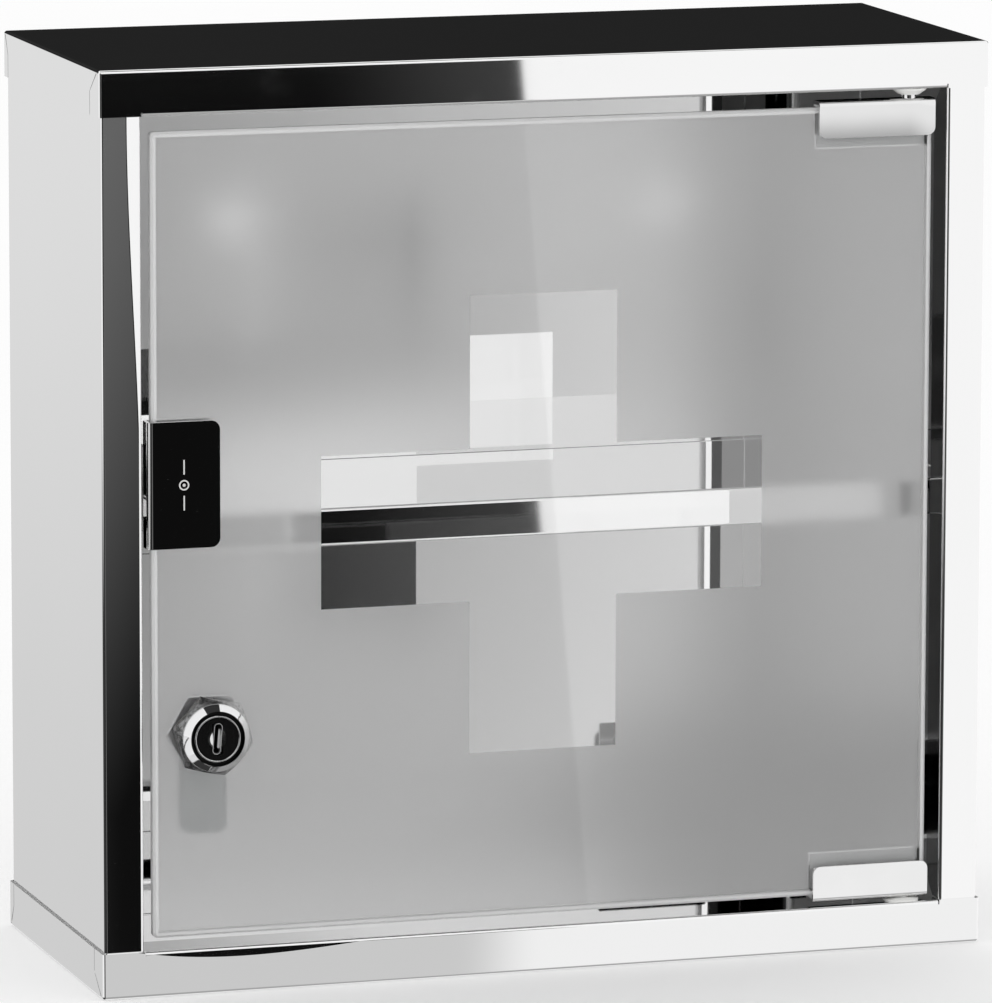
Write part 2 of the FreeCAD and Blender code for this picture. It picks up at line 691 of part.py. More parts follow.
def hinge_liner(name, z, up):
    body = new_body(name)
    wall = size("linerThickness")
    gap = glass_middle
    out = gap + wall
    inset = size("linerInset")
    low = size("clipThickness")
    edge = size("linerEdge")
    front_leg = size("clipFrontLeg") - inset
    rear_leg = size("clipRearLeg") - inset
    profile = new_sketch(body, "YZ_Plane", clip_start + inset)
    path = [(-out, front_leg), (-out, low), (out, low), (out, rear_leg), (gap, rear_leg),
            (gap, low + edge), (-gap, low + edge), (-gap, front_leg)]
    polygon(profile, [(y, z_up * up) for y, z_up in path])
    strip = pad(body, profile, size("clipLength") - inset * 2)
    bend = size("clipFoldRadius") - size("clipThickness")
    fillet(body, strip, [(clip_middle, -out, low * up), (clip_middle, out, low * up)], bend)
    place(body, pivot_x, pivot_y, z)
    return keep(body)


def pivot_pin(name, z, up, gap):
    radius = size("pivotDiameter") / 2
    bevel = size("tipChamfer")
    reach = gap + t + size("bushFlangeThickness") + size("pivotTip")
    web = size("clipThickness")
    points = [(0, web), (radius, web), (radius, bevel - reach), (radius - bevel, -reach), (0, -reach)]
    body = turned(name, points)
    place(body, pivot_x, pivot_y, z, (1, 0, 0), 0 if up > 0 else 180)
    return keep(body)


def pivot_bush(name, z, up):
    bore = size("pivotDiameter") / 2 + size("pivotClearance")
    neck = size("bushNeckDiameter") / 2
    collar = size("bushFlangeDiameter") / 2
    end = t + size("bushFlangeThickness")
    body = turned(name, [(bore, 0), (neck, 0), (neck, -t), (collar, -t), (collar, -end), (bore, -end)])
    place(body, pivot_x, pivot_y, z, (1, 0, 0), 0 if up > 0 else 180)
    return keep(body)


def pivot_washer(name, z, up, top):
    hole = size("pivotDiameter") / 2 + size("pivotClearance") * 2
    outer = size("hingeWasherDiameter") / 2
    crown = size("hingeWasherCrown") / 2
    body = new_body(name)
    points = [(hole, 0), (outer, 0), (outer, size("hingeWasherRim")), (crown, top), (hole, top)]
    cone = revolved(body, "Revolution", points)
    fillet(body, cone, [(crown, 0, top)], size("hingeWasherRounding"))
    place(body, pivot_x, pivot_y, z, (1, 0, 0), 0 if up > 0 else 180)
    return keep(body)


def grub_screw(name, x, z):
    radius = size("grubDiameter") / 2
    length = size("grubLength")
    body = turned(name, [(0, 0), (radius, 0), (radius, length), (0, length)])
    socket = new_sketch(body, "XY_Plane", length)
    hexagon(socket, size("grubKey"))
    pocket(body, socket, size("grubSocket"))
    place(body, x, glass_back + size("linerThickness"), z, (1, 0, 0), -90)
    return body


hinge_clip("bottom_hinge_clip", clip_base, 1)
hinge_clip("top_hinge_clip", clip_top, -1)
hinge_liner("bottom_hinge_liner", clip_base, 1)
hinge_liner("top_hinge_liner", clip_top, -1)
pivot_pin("bottom_pivot_pin", clip_base, 1, size("bottomGap"))
pivot_pin("top_pivot_pin", clip_top, -1, size("topGap"))
pivot_bush("bottom_pivot_bush", flange, 1)
pivot_bush("top_pivot_bush", height - flange, -1)
pivot_washer("bottom_pivot_washer", flange, 1, size("bottomGap") - size("hingeWasherPlay"))
pivot_washer("top_pivot_washer", height - flange, -1, size("topWasherHeight"))

grub_screws = []
for grub_z in (clip_base + grub_height, clip_top - grub_height):
    for grub_side in (-1, 1):
        grub_x = pivot_x + clip_middle + size("grubSpacing") / 2 * grub_side
        grub_screws.append(grub_screw("hinge_grub_screw", grub_x, grub_z))
together("hinge_grub_screws", grub_screws)


# The press plate, a channel over the free edge of the glass, and the pad inside it. Its rear
# leg is what the latch's magnet holds.
def edge_channel(name, wall, gap, left, right, low, tall):
    body = new_body(name)
    outside = gap + wall
    path = [(right, -outside), (left, -outside), (left, outside), (right, outside), (right, gap),
            (left + wall, gap), (left + wall, -gap), (right, -gap)]
    outline = new_sketch(body, "XY_Plane", low)
    polygon(outline, [(x, pivot_y + y) for x, y in path])
    return body, pad(body, outline, tall)


def strike_plate():
    wall = size("strikeThickness")
    gap = glass_middle + size("strikePadThickness")
    outside = gap + wall
    left = -glass_half - size("strikePadThickness") - wall
    right = left + size("strikeLeg")
    tall = size("strikeHeight")
    low = size("strikeCentre") - tall / 2
    body, strip = edge_channel("strike_plate", wall, gap, left, right, low, tall)
    bend = size("strikeFoldRadius")
    middle = size("strikeCentre")
    outer_folds = [(left, pivot_y - outside, middle), (left, pivot_y + outside, middle)]
    inner_folds = [(left + wall, pivot_y - gap, middle), (left + wall, pivot_y + gap, middle)]
    rounded = fillet(body, strip, outer_folds, bend)
    rounded = fillet(body, rounded, inner_folds, bend - wall)
    tips = []
    for z in (low, low + tall):
        tips.append((right, pivot_y - gap - wall / 2, z))
        tips.append((right, pivot_y + gap + wall / 2, z))
    fillet(body, rounded, tips, size("strikeCornerRadius"))
    return keep(body)


def strike_pad():
    wall = size("strikePadThickness")
    inset = size("linerInset")
    left = -glass_half - wall
    right = left - size("strikeThickness") + size("strikeLeg") - inset
    low = size("strikeCentre") - size("strikeHeight") / 2 + inset
    tall = size("strikeHeight") - inset * 2
    body, strip = edge_channel("strike_pad", wall, glass_middle, left, right, low, tall)
    outside = glass_middle + wall
    bend = size("strikeFoldRadius") - size("strikeThickness")
    middle = size("strikeCentre")
    folds = [(left, pivot_y - outside, middle), (left, pivot_y + outside, middle)]
    rounded = fillet(body, strip, folds, bend)
    tips = []
    for z in (low, low + tall):
        tips.append((right, pivot_y - glass_middle - wall / 2, z))
        tips.append((right, pivot_y + glass_middle + wall / 2, z))
    fillet(body, rounded, tips, size("strikeCornerRadius") - inset)
    return keep(body)


strike_plate()
strike_pad()

# The cam lock, made about its own axis: +Z points out of the cabinet, from the glass face
washer = size("lockWasherThickness")
bezel_front = washer + size("bezelThickness")
ring_shoulder = bezel_front + size("ringHeight")
ring_face = ring_shoulder + size("ringBevelHeight")
nut_front = -size("glassThickness") - washer
nut_rear = nut_front - size("nutThickness")
barrel_end = nut_rear - size("barrelTail")
barrel_radius = size("barrelDiameter") / 2
plug_radius = size("plugDiameter") / 2
journal_radius = size("journalDiameter") / 2
shoulder = -size("shoulderDepth") + size("bezelThickness")
cam_front = barrel_end - size("camGap")
cam_rear = cam_front - size("camThickness")
face_ring_front = ring_face - size("plugSetback")
face_ring_rear = face_ring_front - size("plugCapThickness")
boss_front = face_ring_front - size("bossSetback")


def place_lock_piece(body):
    place(body, lock_x, glass_front, lock_z, (1, 0, 0), 90)
    return keep(body)


def bevel_hexagon(body, across, face, start, depth):
    corner = across / math.sqrt(3)
    past = corner * 2 - start
    clear = face + depth
    revolved(body, "Groove", [(start, face), (past, face - depth * 2), (past, clear), (start, clear)])


def lock_housing():
    body = new_body("lock_housing")
    ring_radius = size("ringDiameter") / 2
    face_radius = size("ringFaceDiameter") / 2
    groove_out = size("grooveOuterDiameter") / 2
    groove_in = size("grooveInnerDiameter") / 2
    rim = ring_face - size("sleeveSetback")
    floor = ring_face - size("grooveDepth")
    bore = plug_radius + size("plugPlay")
    small_bore = journal_radius + size("plugPlay")
    step = shoulder - size("shoulderPlay")
    turned_part = revolved(body, "Revolution", [
        (small_bore, barrel_end), (barrel_radius, barrel_end), (barrel_radius, bezel_front),
        (ring_radius, bezel_front), (ring_radius, ring_shoulder), (face_radius, ring_face),
        (groove_out, ring_face), (groove_out, floor), (groove_in, floor), (groove_in, rim),
        (bore, rim), (bore, step), (small_bore, step),
    ])
    rounded = fillet(body, turned_part, [(groove_in, 0, rim), (bore, 0, rim)], size("rimRadius"))
    fillet(body, rounded, [(ring_radius, 0, ring_shoulder)], size("ringEdgeRadius"))
    hexagon_outline = new_sketch(body, "XY_Plane", washer, bezel_turn)
    hexagon(hexagon_outline, size("bezelAcross"))
    circle(hexagon_outline, 0, 0, (barrel_radius + bore))
    pad(body, hexagon_outline, size("bezelThickness"))
    bevel_hexagon(body, size("bezelAcross"), bezel_front, ring_radius, size("bezelBevel"))
    return place_lock_piece(body)


def lock_nut():
    body = new_body("lock_nut")
    outline = new_sketch(body, "XY_Plane", nut_rear)
    hexagon(outline, size("nutAcross"))
    circle(outline, 0, 0, size("barrelDiameter") + size("screwPlay") * 2)
    pad(body, outline, size("nutThickness"))
    bevel_hexagon(body, size("nutAcross"), nut_rear, size("nutAcross") / 2, -size("nutBevel"))
    return place_lock_piece(body)


def lock_washers():
    hole = size("barrelDiameter") + size("screwPlay") * 4
    front_washer = ring("lock_front_washer", size("lockWasherDiameter"), hole, washer)
    place(front_washer, lock_x, glass_front, lock_z, (1, 0, 0), 90)
    rear_washer = ring("lock_rear_washer", size("lockWasherDiameter"), hole, washer)
    place(rear_washer, lock_x, glass_back + washer, lock_z, (1, 0, 0), 90)
    return together("lock_washers", [front_washer, rear_washer])


def key_slot(body, face, depth):
    slot = new_sketch(body, "XY_Plane", face, key_turn)
    rectangle(slot, -size("keySlotWidth") / 2, size("keySlotWidth") / 2,
              -size("keySlotLength") / 2, size("keySlotLength") / 2)
    return pocket(body, slot, depth)


def lock_plug():
    body = new_body("lock_plug")
    boss = size("bossDiameter") / 2
    square = size("camSquare") / 2
    revolved(body, "Revolution", [
        (0, cam_front), (journal_radius, cam_front), (journal_radius, shoulder), (plug_radius, shoulder),
        (plug_radius, face_ring_rear), (boss, face_ring_rear), (boss, boss_front), (0, boss_front),
    ])
    square_end = new_sketch(body, "XY_Plane", cam_rear)
    rectangle(square_end, -square, square, -square, square)
    pad(body, square_end, cam_front - cam_rear)
    key_slot(body, boss_front, size("keySlotDepth"))
    screw_hole = new_sketch(body, "XY_Plane", cam_rear)
    circle(screw_hole, 0, 0, size("camScrewDiameter") + size("screwPlay") * 2)
    pocket(body, screw_hole, size("camScrewLength"), reverse=True)
    return place_lock_piece(body)


def lock_face_ring():
    hole = size("bossDiameter") + size("capPlay") * 2
    body = ring("lock_face_ring", size("plugDiameter"), hole, size("plugCapThickness"))
    thickness = size("plugCapThickness")
    key_slot(body, thickness, thickness)
    place(body, lock_x, glass_front - face_ring_rear, lock_z, (1, 0, 0), 90)
    return keep(body)


# The cam hangs straight down, unlocked, and turns a quarter turn behind the strip's return
def lock_cam():
    body = new_body("lock_cam")
    radius = size("camWidth") / 2
    reach = size("camReach")
    thick = size("camThickness")
    head = new_sketch(body, "XY_Plane", cam_rear)
    circle(head, 0, 0, size("camWidth"))
    pad(body, head, thick)
    tongue = new_sketch(body, "XY_Plane", cam_rear)
    rectangle(tongue, -radius, radius, -reach, 0)
    arm = pad(body, tongue, thick)
    corners = [(x, -reach, cam_rear + thick / 2) for x in (-radius, radius)]
    fillet(body, arm, corners, size("camCornerRadius"))
    square = size("camSquare") / 2 + size("camSquarePlay")
    hole = new_sketch(body, "XY_Plane", cam_front)
    rectangle(hole, -square, square, -square, square)
    pocket(body, hole, thick + overrun)
    return place_lock_piece(body)


def slotted_screw(name, diameter, shank, head_diameter, head_height):
    radius = diameter / 2
    head = head_diameter / 2
    shoulder_height = head_height / 2
    body = turned(name, [(0, -shank), (radius, -shank), (radius, 0), (head, 0), (head, shoulder_height),
                         (radius, head_height), (0, head_height)])
    slot = new_sketch(body, "XY_Plane", head_height)
    half = size("screwSlotWidth") / 2
    rectangle(slot, -head, head, -half, half)
    pocket(body, slot, size("screwSlotDepth"))
    return body


def cam_fixings():
    thickness = size("camWasherThickness")
    hole = size("camScrewDiameter") + size("screwPlay") * 4
    cam_washer = ring("cam_washer", size("camWasherDiameter"), hole, thickness)
    rear = glass_front - cam_rear
    place(cam_washer, lock_x, rear + thickness, lock_z, (1, 0, 0), 90)
    keep(cam_washer)
    shank = size("camScrewLength") - thickness
    cam_screw = slotted_screw("cam_screw", size("camScrewDiameter"), shank, size("camScrewHead"),
                              size("camScrewHeadHeight"))
    place(cam_screw, lock_x, rear + thickness, lock_z, (1, 0, 0), -90)
    return keep(cam_screw)


lock_housing()
lock_nut()
lock_washers()
lock_plug()
lock_face_ring()
lock_cam()
cam_fixings()


# The push latch stands on the shelf. It is made about the plunger's axis, from its front face.
def latch_housing():
    body = new_body("latch_housing")
    half = size("latchWidth") / 2
    half_tall = size("latchHeight") / 2
    section = new_sketch(body, "XZ_Plane")
    rectangle(section, -half, half, -half_tall, half_tall)
    block = pad(body, section, size("latchLength"), reverse=True)
    middle = size("latchLength") / 2
    corners = [(x, middle, z) for x in (-half, half) for z in (-half_tall, half_tall)]
    fillet(body, block, corners, size("latchEdgeRadius"))

    start = size("lugStart")
    end = start + size("lugLength")
    lug_outline = new_sketch(body, "XY_Plane", -half_tall)
    rectangle(lug_outline, 0, half + size("lugWidth"), start, end)
    lug = pad(body, lug_outline, size("lugThickness"))
    lug_edge = half + size("lugWidth")
    lug_middle = size("lugThickness") / 2 - half_tall
    fillet(body, lug, [(lug_edge, start, lug_middle), (lug_edge, end, lug_middle)], size("lugCornerRadius"))

    holes = new_sketch(body, "XY_Plane", size("lugThickness") - half_tall)
    for step in (-1, 1):
        y = (start + end) / 2 + size("lugHoleSpacing") / 2 * step
        circle(holes, half + size("lugWidth") / 2, y, latch_hole)
    pocket(body, holes, size("lugThickness") + overrun)

    bore = new_sketch(body, "XZ_Plane")
    circle(bore, 0, 0, size("plungerDiameter") + size("plungerPlay") * 2)
    pocket(body, bore, size("plungerBore"))
    place(body, latch_x, latch_front, latch_z)
    return keep(body)


def latch_plunger():
    nose = size("latchNoseDiameter") / 2
    shaft = size("plungerDiameter") / 2
    spigot = size("plungerSpigot") / 2
    pocket_radius = size("magnetDiameter") / 2 + size("magnetPlay")
    floor = -size("magnetThickness")
    neck = -size("latchNose")
    shaft_end = neck - size("latchTravel") - size("plungerLength")
    tail = shaft_end - size("plungerSpigotLength")
    body = turned("latch_plunger", [
        (0, tail), (spigot, tail), (spigot, shaft_end), (shaft, shaft_end), (shaft, neck), (nose, neck),
        (nose, 0), (pocket_radius, 0), (pocket_radius, floor), (0, floor),
    ])
    place(body, latch_x, plunger_tip, latch_z, (1, 0, 0), 90)
    return keep(body)


def latch_magnet():
    radius = size("magnetDiameter") / 2
    thick = size("magnetThickness")
    body = turned("latch_magnet", [(0, -thick), (radius, -thick), (radius, 0), (0, 0)])
    place(body, latch_x, plunger_tip, latch_z, (1, 0, 0), 90)
    return keep(body)


# The spring, one wire wound between the plunger's shoulder and the end of the bore
def latch_spring():
    wire = float(size("springWire"))
    gap = float(size("springEndGap"))
    radius = float(size("springCoilDiameter")) / 2
    seat = float(latch_front + size("plungerLength"))
    end = float(latch_front + size("plungerBore"))
    length = end - seat - wire - gap * 2
    helix = Part.makeHelix(length / spring_turns, length, radius)
    start = vector(radius, 0, 0)
    round_wire = Part.Wire(Part.makeCircle(wire / 2, start, vector(0, 1, 0)))
    coil = Part.Wire(helix.Edges).makePipeShell([round_wire], True, True)
    spring = doc.addObject("Part::Feature", "latch_spring")
    spring.Label = "latch_spring"
    spring.Shape = coil
    front = latch_front + size("plungerLength") + size("springEndGap") + size("springWire") / 2
    place(spring, latch_x, front, latch_z, (1, 0, 0), -90)
    return keep(spring)


def latch_fixings():
    screws = []
    nuts = []
    for x, y in latch_screw_places:
        screw = slotted_screw("latch_screw", size("latchScrewDiameter"), size("latchScrewLength"),
                              size("latchScrewHead"), size("latchScrewHeadHeight"))
        place(screw, x, y, shelf_top + size("lugThickness"))
        screws.append(screw)
        nut = new_body("latch_nut")
        outline = new_sketch(nut, "XY_Plane")
        hexagon(outline, size("latchNutAcross"))
        circle(outline, 0, 0, latch_hole)
        pad(nut, outline, size("latchNutThickness"))
        place(nut, x, y, shelf_top - t - size("latchNutThickness"))
        nuts.append(nut)
    together("latch_screws", screws)
    together("latch_nuts", nuts)


latch_housing()
latch_plunger()
latch_magnet()
latch_spring()
latch_fixings()

# Check every object, then write each sub-part
doc.recompute()
for item in doc.Objects:
    if "Invalid" in item.State or "Error" in item.State:
        raise RuntimeError("%s failed" % item.Name)
for name, item in nodes.items():
    if item.Shape.isNull() or not item.Shape.isValid() or not item.Shape.Solids:
        raise RuntimeError("%s has no valid solid" % name)

os.makedirs("parts", exist_ok=True)
for name, item in nodes.items():
    item.Shape.exportStep("parts/%s.step" % name)
    print(name, len(item.Shape.Solids), round(item.Shape.Volume, 1))
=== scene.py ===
import json
import math
import bpy
import bmesh
from mathutils import Matrix, Vector


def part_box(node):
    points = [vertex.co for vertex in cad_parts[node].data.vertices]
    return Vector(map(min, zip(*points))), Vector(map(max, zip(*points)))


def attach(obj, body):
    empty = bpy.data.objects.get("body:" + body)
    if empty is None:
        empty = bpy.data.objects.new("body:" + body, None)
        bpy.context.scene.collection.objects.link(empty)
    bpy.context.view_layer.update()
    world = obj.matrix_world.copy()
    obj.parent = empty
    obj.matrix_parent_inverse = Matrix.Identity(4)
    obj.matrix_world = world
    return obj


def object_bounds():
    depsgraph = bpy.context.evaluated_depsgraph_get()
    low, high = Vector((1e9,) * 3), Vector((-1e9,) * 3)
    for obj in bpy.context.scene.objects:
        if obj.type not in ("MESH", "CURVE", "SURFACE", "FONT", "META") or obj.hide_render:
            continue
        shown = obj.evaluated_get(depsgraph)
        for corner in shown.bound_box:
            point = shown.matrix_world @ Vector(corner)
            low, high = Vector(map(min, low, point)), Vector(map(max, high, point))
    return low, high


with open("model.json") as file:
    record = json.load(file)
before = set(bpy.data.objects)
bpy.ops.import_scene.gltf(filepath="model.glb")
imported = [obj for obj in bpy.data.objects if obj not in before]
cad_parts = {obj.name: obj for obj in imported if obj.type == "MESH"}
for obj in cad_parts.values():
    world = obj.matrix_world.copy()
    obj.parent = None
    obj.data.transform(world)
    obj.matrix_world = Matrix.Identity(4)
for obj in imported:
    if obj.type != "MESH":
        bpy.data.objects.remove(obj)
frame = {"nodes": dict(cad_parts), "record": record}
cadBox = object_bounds()
print("frame loaded:", len(frame["nodes"]), "pieces")


def grey(level):
    return (level, level, level, 1.0)


class Wire:  # a socket in a node tree that takes part in plain sums
    def __init__(self, graph, socket):
        self.graph = graph
        self.socket = socket

    def __add__(self, other):
        return self.graph.sum("ADD", self, other)

    def __radd__(self, other):
        return self.graph.sum("ADD", other, self)

    def __sub__(self, other):
        return self.graph.sum("SUBTRACT", self, other)

    def __rsub__(self, other):
        return self.graph.sum("SUBTRACT", other, self)

    def __mul__(self, other):
        return self.graph.sum("MULTIPLY", self, other)

    def __rmul__(self, other):
        return self.graph.sum("MULTIPLY", other, self)

    def __truediv__(self, other):
        return self.graph.sum("DIVIDE", self, other)

    def __pow__(self, other):
        return self.graph.sum("POWER", self, other)

    def __neg__(self):
        return self.graph.sum("MULTIPLY", self, -1.0)

    def __abs__(self):
        return self.graph.sum("ABSOLUTE", self)

    def least(self, other):  # the smaller of the two
        return self.graph.sum("MINIMUM", self, other)

    def most(self, other):  # the larger of the two
        return self.graph.sum("MAXIMUM", self, other)

    def step(self, low, high, start=0.0, end=1.0):  # eases from start to end between low and high
        return self.graph.add("ShaderNodeMapRange", {"interpolation_type": "SMOOTHSTEP"},
                              {"Value": self, "From Min": low, "From Max": high,
                               "To Min": start, "To Max": end}, "Result")

    def fall(self, low, high):  # eases from 1 to 0
        return self.step(low, high, 1.0, 0.0)

    def above(self, level, blur):  # 1 above the level, with a soft edge
        return self.step(level - blur, level + blur)

    def below(self, level, blur):
        return self.fall(level - blur, level + blur)

    def band(self, low, high, blur):  # 1 between low and high, with soft edges
        return self.above(low, blur) * self.below(high, blur)

    def toward(self, other, mask):  # the other value where the mask is 1
        return self + (other - self) * mask


class Graph:  # one node tree under construction
    def __init__(self, tree):
        self.tree = tree
        tree.nodes.clear()

    def add(self, kind, settings=None, sockets=None, output=0):
        node = self.tree.nodes.new(kind)
        for name, value in (settings or {}).items():
            setattr(node, name, value)
        for name, value in (sockets or {}).items():
            if isinstance(value, Wire):
                self.tree.links.new(value.socket, node.inputs[name])
            else:
                node.inputs[name].default_value = value
        return Wire(self, node.outputs[output])

    def sum(self, operation, first, second=0.0):
        return self.add("ShaderNodeMath", {"operation": operation}, {0: first, 1: second})

    def split(self, vector):  # the three numbers of a vector
        node = self.add("ShaderNodeSeparateXYZ", {}, {0: vector}).socket.node
        return [Wire(self, output) for output in node.outputs]

    def blend(self, mask, first, second):  # colours, first where the mask is 0
        return self.add("ShaderNodeMix", {"data_type": "RGBA"}, {0: mask, 6: first, 7: second}, 2)

    def shade(self, level, brightest=1.0):  # a grey, black at 0
        return self.blend(level, grey(0.0), grey(brightest))

    def place(self, scale=(1, 1, 1)):  # the object's own coordinates, in metres
        point = self.add("ShaderNodeTexCoord", {}, {}, "Object")
        return self.add("ShaderNodeMapping", {}, {"Vector": point, "Scale": scale})

    def noise(self, point, scale, detail=2.0, roughness=0.5):
        return self.add("ShaderNodeTexNoise", {}, {"Vector": point, "Scale": scale, "Detail": detail,
                                                   "Roughness": roughness}, "Fac")

    def bump(self, height, distance, strength=1.0, under=None):
        sockets = {"Height": height, "Distance": distance, "Strength": strength}
        if under:
            sockets["Normal"] = under
        return self.add("ShaderNodeBump", {}, sockets)

    def light(self, name):  # what kind of ray asks
        node = self.add("ShaderNodeLightPath").socket.node
        return Wire(self, node.outputs[name])

    def bounced(self, kind, times):  # 1 for rays with at least so many bounces of that kind
        return self.light(kind + " Depth").above(times - 0.5, 0.4)

    def unscattered(self):  # 1 for rays that no dull surface has scattered
        return 1.0 - self.bounced("Diffuse", 1)

    def throughPane(self, times):  # 1 for rays that have crossed the pane, two surfaces, that often
        return self.bounced("Transmission", times * 2)

    def finish(self, shader, kind="ShaderNodeOutputMaterial"):
        node = self.tree.nodes.new(kind)
        self.tree.links.new(shader.socket, node.inputs["Surface"])


def newMaterial(name, build):
    material = bpy.data.materials.new(name)
    material.use_nodes = True
    graph = Graph(material.node_tree)
    graph.finish(build(graph))
    return material


def newObject(name, shape, finish):
    mesh = bpy.data.meshes.new(name)
    shape.to_mesh(mesh)
    shape.free()
    mesh.materials.append(finish)
    made = bpy.data.objects.new(name, mesh)
    bpy.context.collection.objects.link(made)
    return made


def oneFace(corners):
    shape = bmesh.new()
    shape.faces.new([shape.verts.new(corner) for corner in corners])
    return shape


# Camera, matched to the photograph; angles in degrees
camera = {
    "place": (-0.845015, -2.662028, 0.614985),
    "yaw": -17.6297,
    "pitch": 80.4587,
    "roll": 0.1386,
    "lens": 308.172,
    "sensor": 36.0,
    "clip": (0.05, 60.0),
}


def makeCamera(c):
    data = bpy.data.cameras.new("photographCamera")
    data.lens = c["lens"]
    data.sensor_width = c["sensor"]
    data.clip_start, data.clip_end = c["clip"]
    pose = Matrix.Translation(c["place"])
    for angle, axis in (("yaw", "Z"), ("pitch", "X"), ("roll", "Z")):
        pose = pose @ Matrix.Rotation(math.radians(c[angle]), 4, axis)
    eye = bpy.data.objects.new("photographCamera", data)
    eye.matrix_world = pose
    bpy.context.collection.objects.link(eye)
    bpy.context.scene.camera = eye


makeCamera(camera)
print("camera placed")

# The studio: what the polished sheet mirrors, by direction, and an even white for everything else.
# Azimuths run to the right from straight ahead of the door, elevations up, both in degrees.
studio = {
    "white": 1.0,
    "tableEdge": (17.6, 18.2),     # azimuths between which the table's tone changes
    "tableTone": (0.63, 0.94),     # the table top below the flag, and beside it
    "tableTop": -13.6,
    "tableTopBlur": 0.5,
    "nearTone": (0.42, 1.0),       # the table close to the cabinet, from steeply below to level
    "nearAngles": (-34.0, -17.0),
    "behind": (80.0, 100.0),       # angles from straight behind over which the back gives way
    "backTone": (0.66, 0.78),      # the wall and table behind on the left, from low to level
    "backAngles": (-12.5, -6.0),
    "backEdge": 1.2,               # half the width of the change to white behind on the right
    "horizonBlur": 1.0,
    "sideTone": 0.04,              # the dark room to the left, below level
    "sideAngles": (-125.0, -38.0),
    "sideBlur": 6.0,
    "sideTop": -9.5,
    "sideTopBlur": 1.0,
    "drape": (0.017, 0.026),       # the dark drape behind and above, from low to high
    "drapeTones": (8.0, 16.0),
    "drapeSpan": (1.0, 38.0),
    "drapeSpanBlur": 2.0,
    "drapeHalf": 75.0,
    "drapeHalfBlur": 6.0,
    "roofCentre": (0.06, -0.215, 0.975),  # a dark round opening over the door
    "roofCosine": 0.954,
    "roofBlur": 0.002,
    "roofTone": 0.036,
}


def makeWorld(s):
    world = bpy.data.worlds.new("studio")
    bpy.context.scene.world = world
    world.use_nodes = True
    g = Graph(world.node_tree)
    direction = g.add("ShaderNodeTexCoord", {}, {}, "Generated")
    x, y, z = g.split(direction)
    azimuth = g.sum("ARCTAN2", x, -y) * math.degrees(1.0)
    elevation = g.sum("ARCSINE", z) * math.degrees(1.0)
    behind = 180.0 - abs(azimuth)
    table = azimuth.step(*s["tableEdge"], *s["tableTone"])
    table = table.toward(s["white"], elevation.above(s["tableTop"], s["tableTopBlur"]))
    table = table * elevation.step(*s["nearAngles"], *s["nearTone"])
    back = elevation.step(*s["backAngles"], *s["backTone"])
    back = back.toward(s["white"], azimuth.above(0.0, s["backEdge"]))
    base = table.toward(back, behind.fall(*s["behind"]) * elevation.below(0.0, s["horizonBlur"]))
    side = azimuth.band(*s["sideAngles"], s["sideBlur"]) * elevation.below(s["sideTop"], s["sideTopBlur"])
    base = base.toward(s["sideTone"], side)
    drape = elevation.band(*s["drapeSpan"], s["drapeSpanBlur"])
    drape = drape * behind.below(s["drapeHalf"], s["drapeHalfBlur"])
    base = base.toward(elevation.step(*s["drapeTones"], *s["drape"]), drape)
    overhead = g.add("ShaderNodeVectorMath", {"operation": "DOT_PRODUCT"},
                     {0: direction, 1: Vector(s["roofCentre"]).normalized()}, "Value")
    base = base.toward(s["roofTone"], overhead.above(s["roofCosine"], s["roofBlur"]))
    base = base.toward(s["white"], g.throughPane(2))
    mirroring = g.light("Is Glossy Ray").most(g.light("Is Transmission Ray")) * g.unscattered()
    even = g.add("ShaderNodeBackground", {}, {"Color": grey(s["white"]), "Strength": 1.0})
    mirrored = g.add("ShaderNodeBackground", {}, {"Color": g.shade(base), "Strength": 1.0})
    both = g.add("ShaderNodeMixShader", {}, {0: mirroring, 1: even, 2: mirrored})
    g.finish(both, "ShaderNodeOutputWorld")


makeWorld(studio)

# Dark cloths stand well in front of the cabinet: a narrow one that the flat faces mirror, and a
# broad one on the camera's side. Only polished metal and glass show them.
flag = {
    "distance": 3.0,
    "span": (-0.3, 0.952),         # its left end, and its right end at the top
    "height": (-0.711, -0.045),
    "slant": 0.0886,               # how far the right end leans out for each metre down
    "sideBlur": 0.0022,            # half the width of its soft ends
    "blur": 0.012,                 # and of its soft top and bottom
    "tone": (0.005, 0.045),        # from its darkest part to its right end
    "toneWidth": 0.16,
    "grey": 0.14,                  # its lighter left part
    "greyEnd": (0.383, 0.63),
    "throughPane": 1.0,            # how much of it shows to light that crosses the pane twice
}
cameraCloth = {
    "distance": 3.05,
    "span": (-3.0, -0.25),
    "height": (-2.1, 1.4),
    "slant": 0.0,
    "sideBlur": 0.2,
    "blur": 0.2,
    "tone": (0.02, 0.02),
    "toneWidth": 1.0,
    "grey": 0.0,
    "greyEnd": (-3.0, -2.9),
    "throughPane": 0.42,
}


